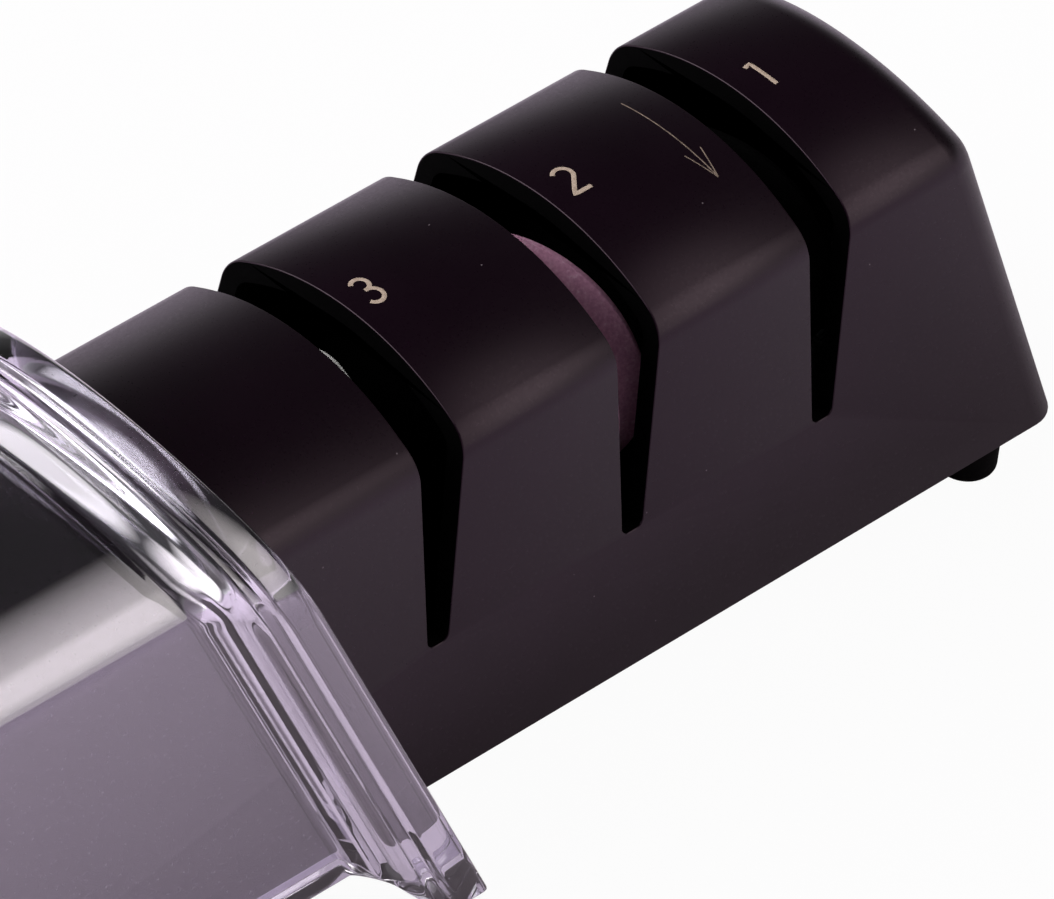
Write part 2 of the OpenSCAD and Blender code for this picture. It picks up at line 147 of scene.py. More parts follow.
def draw_section(piece, x, grow, foot, lip=0):
    """Draws the open outline of the body's section, enlarged by grow, from front over the top to back.
    With a lip it also sets a point that far above each foot."""
    side = BASE_HALF + grow / math.cos(DRAFT) - foot * math.tan(DRAFT)
    corner_z = CORNER_Z + (CORNER_RADIUS + grow) * math.sin(DRAFT)
    rise = [lip, corner_z - foot - lip] if lip else [corner_z - foot]
    start_chain(piece, (x, -side, SHELL_FOOT + foot))
    for step in rise:
        carry(0, step * math.tan(DRAFT), step)
    turns = (
        (CORNER_STEPS, ARCH_FROM - DRAFT, -CORNER_Y, CORNER_Z),
        (ARCH_STEPS, math.pi - 2 * ARCH_FROM, 0, ARCH_CENTRE),
        (CORNER_STEPS, ARCH_FROM - DRAFT, CORNER_Y, CORNER_Z),
    )
    for steps, angle, y, z in turns:
        bpy.ops.mesh.spin(steps=steps, angle=angle, center=(x, y, SHELL_FOOT + z), axis=(1, 0, 0))
    for step in reversed(rise):
        carry(0, step * math.tan(DRAFT), -step)


def add_modifier(piece, kind, **values):
    """Adds one modifier, sets it and applies it."""
    modifier = piece.modifiers.new(kind.lower(), kind)
    for key, value in values.items():
        setattr(modifier, key, value)
    bpy.context.view_layer.objects.active = piece
    bpy.ops.object.modifier_apply(modifier=modifier.name)


def smooth(piece, degrees=30):
    """Shades a piece smooth, except over edges sharper than the angle."""
    leave_edit()
    piece.select_set(True)
    bpy.context.view_layer.objects.active = piece
    bpy.ops.object.shade_smooth_by_angle(angle=math.radians(degrees))


housing = open_sketch("housing")
draw_section(housing, SHELL_LEFT, 0, -TRIM)
bpy.ops.mesh.select_all(action="SELECT")
bpy.ops.mesh.edge_face_add()
bpy.ops.mesh.extrude_region_move(
    TRANSFORM_OT_translate={"value": (RIGHT_END - SHELL_LEFT + END_OVERRUN, 0, 0)})
bpy.ops.mesh.select_all(action="SELECT")
bpy.ops.mesh.normals_make_consistent(inside=False)
END_NORMAL = Vector((math.cos(END_LEAN), 0, math.sin(END_LEAN)))
END_POINT = Vector((RIGHT_END, 0, SHELL_FOOT))
bpy.ops.mesh.bisect(plane_co=END_POINT, plane_no=END_NORMAL, use_fill=True, clear_outer=True)


def on_end_edge(middle, edge):
    """True for the edges round the leaning end, but not for the one at the bottom."""
    flat = all(abs((v.co - END_POINT).dot(END_NORMAL)) < NEAR for v in edge.verts)
    return flat and middle.z > SHELL_FOOT - 0.99 * TRIM


pick(housing, "edges", on_end_edge)
bpy.ops.mesh.bevel(offset=END_RADIUS, offset_type="OFFSET", segments=8, profile=0.5, affect="EDGES")
pick(housing, "faces", lambda middle, face: face.normal.z < -0.9)
bpy.ops.mesh.delete(type="FACE")
leave_edit()
add_modifier(housing, "SOLIDIFY", thickness=SHELL_WALL, offset=-1, use_even_offset=True,
             use_quality_normals=True)
bpy.ops.object.mode_set(mode="EDIT")
bpy.ops.mesh.select_all(action="SELECT")
bpy.ops.mesh.bisect(plane_co=END_POINT, plane_no=(0, 0, 1), use_fill=True, clear_inner=True)

leave_edit()
bpy.ops.mesh.primitive_cube_add(
    size=1, location=(SLOT_PLACES[0], 0, (SLOT_FLOOR + SLOT_TAPER_TOP) / 2),
    scale=(SLOT_WIDTH, CUTTER_REACH, SLOT_TAPER_TOP - SLOT_FLOOR))
slot_cutter = bpy.context.object
bpy.ops.object.transform_apply(location=True, rotation=True, scale=True)
bpy.ops.object.mode_set(mode="EDIT")
pick(slot_cutter, "faces", lambda middle, face: face.normal.z < -0.9)
bpy.ops.transform.resize(value=(SLOT_FOOT_WIDTH / SLOT_WIDTH, 1, 1))
pick(slot_cutter, "faces", lambda middle, face: face.normal.z > 0.9)
bpy.ops.mesh.extrude_region_move(TRANSFORM_OT_translate={"value": (0, 0, CUTTER_RISE)})
pick(slot_cutter, "edges", lambda middle, edge: abs(middle.z - SLOT_FLOOR) < NEAR and abs(middle.y) < NEAR)
bpy.ops.mesh.bevel(offset=SLOT_FOOT_ROUND, segments=5, profile=0.5, affect="EDGES")
for place in SLOT_PLACES[1:]:
    pick(slot_cutter, "faces", lambda middle, face: middle.x > SLOT_PLACES[0] - SLOT_WIDTH)
    bpy.ops.mesh.duplicate_move(TRANSFORM_OT_translate={"value": (place - SLOT_PLACES[0], 0, 0)})
leave_edit()
dividers = open_sketch("dividers")
for place in DIVIDER_PLACES:
    bpy.ops.mesh.select_all(action="DESELECT")
    draw_section(dividers, place - DIVIDER_WALL / 2, DIVIDER_OVERLAP - SHELL_WALL, DIVIDER_FOOT)
    pick(dividers, "verts", lambda middle, vert: abs(middle.x - place + DIVIDER_WALL / 2) < NEAR)
    bpy.ops.mesh.edge_face_add()
    bpy.ops.mesh.extrude_region_move(TRANSFORM_OT_translate={"value": (DIVIDER_WALL, 0, 0)})
bpy.ops.mesh.select_all(action="SELECT")
bpy.ops.mesh.normals_make_consistent(inside=False)
leave_edit()
add_modifier(housing, "BOOLEAN", operation="UNION", object=dividers, solver="EXACT")
bpy.data.objects.remove(dividers)
add_modifier(housing, "BOOLEAN", operation="DIFFERENCE", object=slot_cutter, solver="EXACT")
bpy.data.objects.remove(slot_cutter)


def slot_mouth(middle, edge):
    """True for the edges between a slot's walls, which run square to the front, and the outer skin."""
    if len(edge.link_faces) != 2:
        return False
    outward = middle - Vector((middle.x, 0, SLOT_MIDDLE))
    square = 0.001
    walls = [face for face in edge.link_faces if abs(face.normal.y) < square]
    skin = [face for face in edge.link_faces
            if abs(face.normal.y) > square and face.normal.dot(outward) > 0]
    return len(walls) == 1 and len(skin) == 1


bpy.context.view_layer.objects.active = housing
bpy.ops.object.mode_set(mode="EDIT")
pick(housing, "edges", slot_mouth)
bpy.ops.mesh.bevel(offset=EDGE_BREAK, offset_type="OFFSET", segments=3, profile=0.5, affect="EDGES",
                   clamp_overlap=False)
smooth(housing, degrees=20)


def new_finish(name):
    """A new node material; gives its nodes, links and main shader."""
    finish = bpy.data.materials.new(name)
    finish.use_nodes = True
    nodes = finish.node_tree.nodes
    return finish, nodes, finish.node_tree.links, nodes["Principled BSDF"]


def add_noise(nodes, links, scale, detail=3):
    """Noise over the piece's own coordinates; the scale counts cells to the metre."""
    place = nodes.new("ShaderNodeTexCoord")
    noise = nodes.new("ShaderNodeTexNoise")
    noise.inputs["Scale"].default_value = scale
    noise.inputs["Detail"].default_value = detail
    links.new(place.outputs["Object"], noise.inputs["Vector"])
    return noise.outputs["Fac"]


def add_ramp(nodes, links, source, stops):
    """Colour ramp on a source; stops are pairs of place and colour."""
    ramp = nodes.new("ShaderNodeValToRGB")
    ramp.color_ramp.elements[0].position, ramp.color_ramp.elements[0].color = stops[0]
    ramp.color_ramp.elements[1].position, ramp.color_ramp.elements[1].color = stops[-1]
    for position, colour in stops[1:-1]:
        ramp.color_ramp.elements.new(position).color = colour
    links.new(source, ramp.inputs["Fac"])
    return ramp.outputs["Color"]


def add_range(nodes, links, source, low, high):
    """Spreads a noise over the span from low to high."""
    span = nodes.new("ShaderNodeMapRange")
    span.inputs["From Min"].default_value = 0.3
    span.inputs["From Max"].default_value = 0.7
    span.inputs["To Min"].default_value = low
    span.inputs["To Max"].default_value = high
    links.new(source, span.inputs["Value"])
    return span.outputs["Result"]


def add_bump(nodes, links, shader, height, strength, depth):
    """Gives a shader a fine relief from a height."""
    bump = nodes.new("ShaderNodeBump")
    bump.inputs["Strength"].default_value = strength
    bump.inputs["Distance"].default_value = depth
    links.new(height, bump.inputs["Height"])
    links.new(bump.outputs["Normal"], shader.inputs["Normal"])


def add_math(nodes, links, operation, first, second):
    """One step of arithmetic on two values, each a socket or a number."""
    node = nodes.new("ShaderNodeMath")
    node.operation = operation
    for socket, value in zip(node.inputs, (first, second)):
        if isinstance(value, (int, float)):
            socket.default_value = value
        else:
            links.new(value, socket)
    return node.outputs[0]


def add_dust(nodes, links, ground, speck, scale, reach):
    """Strews a few pale dust specks over a ground colour; the reach is their radius in cells."""
    place = nodes.new("ShaderNodeTexCoord")
    cells = nodes.new("ShaderNodeTexVoronoi")
    cells.inputs["Scale"].default_value = scale
    links.new(place.outputs["Object"], cells.inputs["Vector"])
    near = add_math(nodes, links, "LESS_THAN", cells.outputs["Distance"], reach)
    strewn = nodes.new("ShaderNodeMix")
    strewn.data_type = "RGBA"
    links.new(near, strewn.inputs["Factor"])
    links.new(ground, strewn.inputs["A"])
    strewn.inputs["B"].default_value = speck
    return strewn.outputs["Result"]


satin_black, nodes, links, shader = new_finish("satin_black_plastic")
tone = add_noise(nodes, links, scale=70)
black = add_ramp(nodes, links, tone, (
    (0.35, (0.0034, 0.0006, 0.0028, 1)), (0.65, (0.0050, 0.0012, 0.0042, 1))))
dusty = add_dust(nodes, links, black, speck=(0.16, 0.13, 0.15, 1), scale=230, reach=0.022)
links.new(dusty, shader.inputs["Base Color"])
grain = add_noise(nodes, links, scale=3200, detail=2)
links.new(add_range(nodes, links, grain, low=0.27, high=0.35), shader.inputs["Roughness"])
add_bump(nodes, links, shader, grain, strength=0.035, depth=0.03 * MM)
shader.inputs["Specular IOR Level"].default_value = 0.27
shader.inputs["Specular Tint"].default_value = (1, 0.74, 0.89, 1)
housing.data.materials.append(satin_black)

# Painted shade: the slot walls and the inside of the shell are the same black plastic as the body. They get
# this near-black, dull finish, which paints in the deep shade inside the slots.
painted_shade_black, nodes, links, shader = new_finish("slot_wall_painted_shade")
shade_mottle = add_noise(nodes, links, scale=900)
links.new(add_ramp(nodes, links, shade_mottle, (
    (0.3, (0.0002, 0.0002, 0.0002, 1)), (0.7, (0.0006, 0.0005, 0.0006, 1)))), shader.inputs["Base Color"])
links.new(add_range(nodes, links, shade_mottle, low=0.7, high=0.85), shader.inputs["Roughness"])
shader.inputs["Specular IOR Level"].default_value = 0.02
housing.data.materials.append(painted_shade_black)


def beyond_body(point):
    """True where a point lies outside the body's sides, arch, ends or bottom edge."""
    up = point.z - SHELL_FOOT
    beside = abs(point.y) > BASE_HALF - up * math.tan(DRAFT)
    above = up > CORNER_Z and math.hypot(point.y, up - ARCH_CENTRE) > ARCH_RADIUS
    past = (point - END_POINT).dot(END_NORMAL) > 0 or point.x < SHELL_LEFT
    return beside or above or past or up < 0


# Painted shade: every face that looks into the body, which means the slot walls and the inside of the
# shell, gets the near-black finish.
FEELER = 1.25 * SHELL_WALL
for face in housing.data.polygons:
    if not beyond_body(face.center + FEELER * face.normal):
        face.material_index = 1
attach(housing, "housing")
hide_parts("housing_shell")

# Printed marks: the numerals 1 to 3 beside the slots and a thin arrow that shows the pulling direction.
# They are pad printed in beige ink straight on the arched top of the housing.
NUMERAL_HEIGHT = 4.1 * MM
NUMERAL_STROKE = 0.52 * MM
ARROW_STROKE = 0.15 * MM
INK_RELIEF = 0.02 * MM
STROKE_STEP = 0.5 * MM
ARC_STEP = 8


def draw_strokes(name, strokes, width):
    """Draws centrelines on a level sheet, gives them a width and lays them on the arched top.
    A stroke is its start and its moves: ("line", step) or ("arc", centre, angle in degrees)."""
    sheet = SHELL_HIGH[2]
    piece = open_sketch(name)
    for start, moves in strokes:
        start_chain(piece, (start[0], start[1], sheet))
        for kind, place, *angle in moves:
            if kind == "line":
                steps = max(1, round(math.hypot(*place) / STROKE_STEP))
                for step in range(steps):
                    carry(place[0] / steps, place[1] / steps, 0)
            else:
                bpy.ops.mesh.spin(steps=max(4, int(abs(angle[0]) / ARC_STEP)), angle=math.radians(angle[0]),
                                  center=(place[0], place[1], sheet), axis=(0, 0, -1))
    leave_edit()
    piece.select_set(True)
    bpy.context.view_layer.objects.active = piece
    bpy.ops.object.convert(target="CURVE")
    piece = bpy.context.object
    piece.data.bevel_depth = width / 2
    piece.data.bevel_resolution = 2
    bpy.ops.object.convert(target="MESH")
    piece = bpy.context.object
    bpy.ops.object.mode_set(mode="EDIT")
    bpy.ops.mesh.select_all(action="SELECT")
    bpy.ops.mesh.fill_holes(sides=0)
    leave_edit()
    for vert in piece.data.vertices:
        arch = SHELL_FOOT + ARCH_CENTRE + math.sqrt(ARCH_RADIUS ** 2 - vert.co.y ** 2)
        vert.co.z = arch + (vert.co.z - sheet) / (width / 2) * INK_RELIEF
    smooth(piece)
    return piece


def numeral_one(x, y):
    """A stem with a short flag."""
    half, flag = NUMERAL_HEIGHT / 2, 0.23 * NUMERAL_HEIGHT
    return [((x, y - half), [("line", (0, 2 * half)), ("line", (-flag, -0.26 * flag))])]


def numeral_two(x, y):
    """A bowl that runs into a slanting stroke, and a level foot."""
    half, bowl = NUMERAL_HEIGHT / 2, 0.27 * NUMERAL_HEIGHT
    foot = 1.08 * bowl
    lift, drop = 32, 38
    crown = (x, y + half - bowl)
    start = (x - bowl * math.cos(math.radians(lift)), crown[1] + bowl * math.sin(math.radians(lift)))
    leave = (x + bowl * math.cos(math.radians(drop)), crown[1] - bowl * math.sin(math.radians(drop)))
    return [(start, [("arc", crown, -(180 - lift + drop)),
                     ("line", (x - foot - leave[0], y - half - leave[1])), ("line", (2 * foot, 0))])]


def numeral_three(x, y):
    """Two bowls that meet in the middle."""
    half = NUMERAL_HEIGHT / 2
    upper, lower = 0.235 * NUMERAL_HEIGHT, 0.265 * NUMERAL_HEIGHT
    top, foot = (x, y + half - upper), (x, y - half + lower)
    lift = 28
    start = (x - upper * math.cos(math.radians(lift)), top[1] + upper * math.sin(math.radians(lift)))
    return [(start, [("arc", top, -(180 - lift + 90)), ("line", (-0.25 * upper, 0))]),
            ((x, foot[1] + lower), [("arc", foot, -(90 + 180 - lift))])]


marks = [
    draw_strokes("numeral_1", numeral_one(x=74.45 * MM, y=0.45 * MM), NUMERAL_STROKE),
    draw_strokes("numeral_2", numeral_two(x=46.35 * MM, y=0.75 * MM), NUMERAL_STROKE),
    draw_strokes("numeral_3", numeral_three(x=17.8 * MM, y=1.1 * MM), NUMERAL_STROKE),
]
ARROW_TIP = (59.8 * MM, -7.8 * MM)
ARROW_TAIL = (59.8 * MM, 6.7 * MM)
ARROW_BARBS = ((61.0 * MM, -3.8 * MM), (58.7 * MM, -3.8 * MM))
arrow = draw_strokes("pull_arrow", [
    (start, [("line", (ARROW_TIP[0] - start[0], ARROW_TIP[1] - start[1]))])
    for start in (ARROW_TAIL, *ARROW_BARBS)
], ARROW_STROKE)


def beige_ink(name, thin, full):
    """Printing ink, a little thinner in places, dull."""
    ink, nodes, links, shader = new_finish(name)
    wear = add_noise(nodes, links, scale=1800, detail=4)
    links.new(add_ramp(nodes, links, wear, ((0.35, thin), (0.55, full))), shader.inputs["Base Color"])
    links.new(add_range(nodes, links, wear, low=0.5, high=0.65), shader.inputs["Roughness"])
    shader.inputs["Specular IOR Level"].default_value = 0.2
    return ink


numeral_ink = beige_ink("beige_numeral_ink", thin=(0.40, 0.30, 0.24, 1), full=(0.50, 0.39, 0.32, 1))
arrow_ink = beige_ink("beige_arrow_ink", thin=(0.12, 0.088, 0.072, 1), full=(0.22, 0.165, 0.135, 1))
for mark in marks + [arrow]:
    mark.data.materials.append(arrow_ink if mark is arrow else numeral_ink)
    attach(mark, "housing")

# Grinding wheels: one pair under each slot, pressed and fired grit rings with sloping rims that face
# each other, so that a pair makes a V. Each pair is pushed on its axle and turns with it.
AXLE_Z = SHELL_FOOT + 26.8 * MM
BORE_RADIUS = 2.02 * MM
WHEEL_NEAR, WHEEL_FAR = 0.2 * MM, 3.4 * MM
RIM_DROP, RIM_LAND = 2.4 * MM, 0.6 * MM
WHEEL_EDGE = 0.18 * MM
WHEEL_TURNS = 96
WELD = 0.001 * MM


def turn_profile(name, points, axis, turns):
    """Draws a closed profile through the points and turns it once round an axis through the origin."""
    piece = open_sketch(name)
    start_chain(piece, points[0])
    for here, there in zip(points, points[1:] + points[:1]):
        carry(*(Vector(there) - Vector(here)))
    bpy.ops.mesh.select_all(action="SELECT")
    bpy.ops.mesh.remove_doubles(threshold=WELD)
    bpy.ops.mesh.spin(steps=turns, angle=2 * math.pi, center=(0, 0, 0), axis=axis)
    bpy.ops.mesh.select_all(action="SELECT")
    bpy.ops.mesh.remove_doubles(threshold=WELD)
    bpy.ops.mesh.normals_make_consistent(inside=False)
    leave_edit()
    return piece


def turn_wheel(radius):
    """One grit ring on the x axis, its sloping rim towards the origin."""
    wheel = turn_profile("wheel", [
        (WHEEL_NEAR, 0, BORE_RADIUS), (WHEEL_NEAR, 0, radius - RIM_DROP),
        (WHEEL_FAR - RIM_LAND, 0, radius), (WHEEL_FAR, 0, radius), (WHEEL_FAR, 0, BORE_RADIUS),
    ], (1, 0, 0), WHEEL_TURNS)
    smooth(wheel)
    add_modifier(wheel, "BEVEL", width=WHEEL_EDGE, segments=2, limit_method="ANGLE",
                 angle_limit=math.radians(30), harden_normals=True)
    return wheel


def grit_finish(name, dark, pale, speck, rough):
    """Fired grit: two tones, scattered bright grains and a coarse, matt surface."""
    finish, nodes, links, shader = new_finish(name)
    body = add_noise(nodes, links, scale=2600, detail=5)
    links.new(add_ramp(nodes, links, body, ((0.34, dark), (0.58, pale), (0.76, speck))),
              shader.inputs["Base Color"])
    links.new(add_range(nodes, links, body, rough - 0.08, rough + 0.08), shader.inputs["Roughness"])
    add_bump(nodes, links, shader, body, strength=0.5, depth=0.12 * MM)
    shader.inputs["Specular IOR Level"].default_value = 0.08
    return finish


# Each pair: its stage, place along the body, radius, skew in degrees and finish
WHEEL_PAIRS = (
    ("coarse", SLOT_PLACES[0], 15 * MM, 18, grit_finish(
        "dark_diamond_grit", dark=(0.0008, 0.0007, 0.0008, 1), pale=(0.0018, 0.0016, 0.0018, 1),
        speck=(0.008, 0.008, 0.009, 1), rough=0.85)),
    ("medium", SLOT_PLACES[1], 15 * MM, 18, grit_finish(
        "pink_ceramic_grit", dark=(0.62, 0.28, 0.44, 1), pale=(0.76, 0.38, 0.56, 1),
        speck=(0.86, 0.58, 0.72, 1), rough=0.75)),
    ("fine", SLOT_PLACES[2], 13 * MM, -18, grit_finish(
        "white_ceramic_grit", dark=(0.80, 0.78, 0.76, 1), pale=(0.88, 0.86, 0.85, 1),
        speck=(0.92, 0.91, 0.90, 1), rough=0.7)),
)
for stage, place, radius, skew, grit in WHEEL_PAIRS:
    right = turn_wheel(radius)
    right.select_set(True)
    bpy.context.view_layer.objects.active = right
    bpy.ops.object.duplicate()
    left = bpy.context.object
    for wheel, side, turn in ((right, "right", 0), (left, "left", 180)):
        wheel.name = f"{stage}_wheel_{side}_grit"
        wheel.rotation_euler = (0, 0, math.radians(skew + turn))
        wheel.location = (place, 0, AXLE_Z)
        leave_edit()
        wheel.select_set(True)
        bpy.context.view_layer.objects.active = wheel
        bpy.ops.object.transform_apply(location=True, rotation=True, scale=True)
        wheel.data.materials.append(grit)
        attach(wheel, f"{stage}_wheels")
        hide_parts(f"{stage}_wheel_{side}")

# Axles, screws, collars and cradles: ground steel pins, zinc-plated screws, turned nylon spacers and
# moulded acetal brackets. They are the frame's own solids, seen only through the slots or from below.
bright_steel, nodes, links, shader = new_finish("bright_steel")
brush = add_noise(nodes, links, scale=1500, detail=4)
links.new(add_ramp(nodes, links, brush, (
    (0.3, (0.42, 0.42, 0.44, 1)), (0.7, (0.58, 0.58, 0.60, 1)))), shader.inputs["Base Color"])
links.new(add_range(nodes, links, brush, low=0.22, high=0.38), shader.inputs["Roughness"])
shader.inputs["Metallic"].default_value = 1


def moulded(name, dark, pale, rough, grain_depth):
    """Moulded plastic: slight mottling, fine spark-eroded grain."""
    finish, nodes, links, shader = new_finish(name)
    tone = add_noise(nodes, links, scale=120)
    links.new(add_ramp(nodes, links, tone, ((0.35, dark), (0.65, pale))), shader.inputs["Base Color"])
    grain = add_noise(nodes, links, scale=2200)
    links.new(add_range(nodes, links, grain, rough - 0.06, rough + 0.06), shader.inputs["Roughness"])
    add_bump(nodes, links, shader, grain, strength=0.25, depth=grain_depth)
    shader.inputs["Specular IOR Level"].default_value = 0.06
    return finish


def dress(node, finish):
    """Gives one of the frame's own solids its finish."""
    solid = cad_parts[node]
    solid.data.materials.clear()
    solid.data.materials.append(finish)


black_acetal = moulded("black_acetal", dark=(0.004, 0.003, 0.004, 1), pale=(0.006, 0.005, 0.006, 1),
                       rough=0.6, grain_depth=0.04 * MM)
nylon = moulded("natural_nylon", dark=(0.10, 0.10, 0.095, 1), pale=(0.13, 0.13, 0.12, 1),
                rough=0.55, grain_depth=0.02 * MM)
for stage in ("coarse", "medium", "fine"):
    dress(f"{stage}_axle", bright_steel)
    dress(f"{stage}_collars", nylon)
    dress(f"{stage}_cradle", black_acetal)
for node in ("base_screws", "cradle_screws"):
    dress(node, bright_steel)

# Base plate: a flat black moulding let into the bottom of the housing, with a coarse spark-eroded grain.
# It carries the cradles and the feet, and six screws hold the housing down on it.
black_plate = moulded("grained_black_plate", dark=(0.007, 0.006, 0.007, 1), pale=(0.011, 0.010, 0.011, 1),
                      rough=0.55, grain_depth=0.08 * MM)
dress("base_plate", black_plate)

# Feet: four round pads moulded in black rubber, each with a stem that is plugged into the base plate.
# Their lower edges are rounded, and a shallow dish underneath helps them to grip the table.
FOOT_RADIUS = 3.5 * MM
FOOT_EDGE = 1 * MM
FOOT_DISH = 0.25 * MM
DISH_FLAT, DISH_RADIUS = 1.6 * MM, 2.0 * MM
STEM_RADIUS = 2.0 * MM
AXIS_GAP = 0.02 * MM
PAD_TOP, STEM_TOP = 8.8 * MM, 11.2 * MM
EDGE_STEPS = 6
FOOT_TURNS = 48
FOOT_PLACES = {
    "foot_right_front": (97.2 * MM, -15.9 * MM), "foot_right_back": (97.2 * MM, 15.9 * MM),
    "foot_left_front": (-92.2 * MM, -15.9 * MM), "foot_left_back": (-92.2 * MM, 15.9 * MM),
}
rounded = [(FOOT_RADIUS - FOOT_EDGE + FOOT_EDGE * math.sin(turn), 0, FOOT_EDGE * (1 - math.cos(turn)))
           for turn in [math.radians(90 / EDGE_STEPS * step) for step in range(EDGE_STEPS + 1)]]
foot = turn_profile("foot", [
    (AXIS_GAP, 0, FOOT_DISH), (DISH_FLAT, 0, FOOT_DISH), (DISH_RADIUS, 0, 0), *rounded,
    (FOOT_RADIUS, 0, PAD_TOP), (STEM_RADIUS, 0, PAD_TOP),
    (STEM_RADIUS, 0, STEM_TOP), (AXIS_GAP, 0, STEM_TOP),
], (0, 0, 1), FOOT_TURNS)
smooth(foot)
foot.data.materials.append(moulded(
    "black_rubber", dark=(0.0006, 0.0004, 0.0006, 1), pale=(0.0014, 0.0011, 0.0014, 1),
    rough=0.75, grain_depth=0.05 * MM))
for node, (x, y) in FOOT_PLACES.items():
    leave_edit()
    foot.select_set(True)
    bpy.context.view_layer.objects.active = foot
    bpy.ops.object.duplicate()
    pad = bpy.context.object
    pad.name = f"{node}_pad"
    pad.location = (x, y, 0)
    bpy.ops.object.transform_apply(location=True, rotation=True, scale=True)
    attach(pad, "housing")
    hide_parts(node)
bpy.data.objects.remove(foot)

# End cap: a thick black moulding pressed on the left end with two pegs, as large as the sleeve,
# so that it is the sleeve's stop. Its outer edge is rounded for the hand.
CAP_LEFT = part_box("end_cap")[0][0]
CAP_GROW = 2.5 * MM
CAP_EDGE = 2 * MM
CAP_EDGE_BREAK = 0.3 * MM
cap = open_sketch("end_cap_moulding")
draw_section(cap, SHELL_LEFT, CAP_GROW, 0)
bpy.ops.mesh.select_all(action="SELECT")
bpy.ops.mesh.edge_face_add()
bpy.ops.mesh.extrude_region_move(TRANSFORM_OT_translate={"value": (CAP_LEFT - SHELL_LEFT, 0, 0)})
bpy.ops.mesh.select_all(action="SELECT")
bpy.ops.mesh.normals_make_consistent(inside=False)
pick(cap, "edges", lambda middle, edge: all(v.co.x < CAP_LEFT + NEAR for v in edge.verts)
     and middle.z > SHELL_FOOT + NEAR)
bpy.ops.mesh.bevel(offset=CAP_EDGE, offset_type="OFFSET", segments=6, profile=0.5, affect="EDGES")
leave_edit()
smooth(cap)
add_modifier(cap, "BEVEL", width=CAP_EDGE_BREAK, segments=2, limit_method="ANGLE",
             angle_limit=math.radians(40), harden_normals=True)
cap.data.materials.append(satin_black)
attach(cap, "housing")
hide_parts("end_cap")

# Clear sleeve: moulded in clear styrene with a faint lilac cast, C-shaped in section.
# Two lips hook under the housing, and its right end flares into a leaning rim that is the grip.
# It slides along the body: parked to the left in use, slid right over the slots for storage.
SLEEVE_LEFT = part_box("clear_cover")[0][0]
SLEEVE_FOOT = -2.6 * MM
LIP_THICKNESS = 2.1 * MM
LIP_REACH = 2.4 * MM
RIM_TAN = math.tan(math.radians(26.5))
RIM_FOOT = -7.5 * MM
WALL_INSIDE, WALL_OUTSIDE = 0.5 * MM, 2.5 * MM
FLARE_START = -5.0 * MM
FLARE_LEAD = 0.6 * MM
FLARE_STEP = 0.2 * MM
SHOULDER = 8 * MM
LIP_CLEAR = 0.4 * MM
LEAN_LEAD = 1 * MM
SLEEVE_EDGE = 0.25 * MM
# Along the flare: place along the body and how much the section grows for each step along it
FLARE_SLOPES = [(-5.0, 0), (-4.4, 0.5), (-1.8, 0.95), (-1.3, 1.96), (-0.75, 1.83), (-0.2, 1.42),
                (0.35, 0.76), (0.9, 0)]
# From the shoulder over the step and the band to the mouth: place along the body and growth of the section
RIM_PROFILE = [(1.6, 8.0), (1.85, 8.08), (2.1, 8.4), (2.35, 8.8), (2.6, 8.96), (3.0, 9.0), (5.9, 9.0),
               (6.4, 8.87), (6.63, 8.6), (6.7, 8.2), (6.7, 1.5), (6.6, 1.1), (6.3, 0.8), (5.8, 0.6),
               (5.0, 0.5), (2.4, 0.5)]
flare = [(FLARE_START - FLARE_LEAD, WALL_OUTSIDE), (FLARE_START, WALL_OUTSIDE)]
for (place, slope), (next_place, next_slope) in zip(FLARE_SLOPES, FLARE_SLOPES[1:]):
    steps = max(2, round((next_place - place) * MM / FLARE_STEP))
    for step in range(steps):
        middle = slope + (next_slope - slope) * (step + 0.5) / steps
        run = (next_place - place) * MM / steps
        flare.append((flare[-1][0] + run, flare[-1][1] + middle * run))


def foot_below(grow):
    """The sleeve's lower edge drops to the rim's as the section grows along the flare."""
    return SLEEVE_FOOT + (RIM_FOOT - SLEEVE_FOOT) * (grow - WALL_OUTSIDE) / (SHOULDER - WALL_OUTSIDE)


stations = [(SLEEVE_LEFT, WALL_OUTSIDE, SLEEVE_FOOT)]
stations += [(place, grow, foot_below(grow)) for place, grow in flare]
stations += [(place * MM, grow * MM, RIM_FOOT) for place, grow in RIM_PROFILE]
stations += [(place, WALL_INSIDE, foot_below(grow)) for place, grow in reversed(flare)]
stations += [(SLEEVE_LEFT, WALL_INSIDE, SLEEVE_FOOT)]
sleeve = open_sketch("clear_sleeve")
chain_length = 2 * CORNER_STEPS + ARCH_STEPS + 5
for place, grow, foot in stations:
    draw_section(sleeve, place, grow, foot, LIP_THICKNESS)
for first in range(len(stations)):
    chains = {first, (first + 1) % len(stations)}
    bpy.ops.mesh.select_mode(type="EDGE")
    bpy.ops.mesh.select_all(action="DESELECT")
    mesh = bmesh.from_edit_mesh(sleeve.data)
    mesh.verts.ensure_lookup_table()
    for edge in mesh.edges:
        numbers = [v.index // chain_length for v in edge.verts]
        if numbers[0] == numbers[1] and numbers[0] in chains:
            edge.select_set(True)
    bmesh.update_edit_mesh(sleeve.data)
    bpy.ops.mesh.bridge_edge_loops()
bpy.ops.mesh.select_all(action="SELECT")
bpy.ops.mesh.fill_holes(sides=0)
bpy.ops.mesh.normals_make_consistent(inside=False)
for side in (-1, 1):
    pick(sleeve, "faces", lambda middle, face: face.normal.y * side < -0.9 and middle.y * side > 0
         and middle.z < SHELL_FOOT - LIP_CLEAR)
    bpy.ops.mesh.extrude_region_move(TRANSFORM_OT_translate={"value": (0, -side * LIP_REACH, 0)})
leave_edit()
for vert in sleeve.data.vertices:
    if vert.co.x > FLARE_START - LEAN_LEAD:
        vert.co.x -= RIM_TAN * (vert.co.z - SHELL_FOOT)
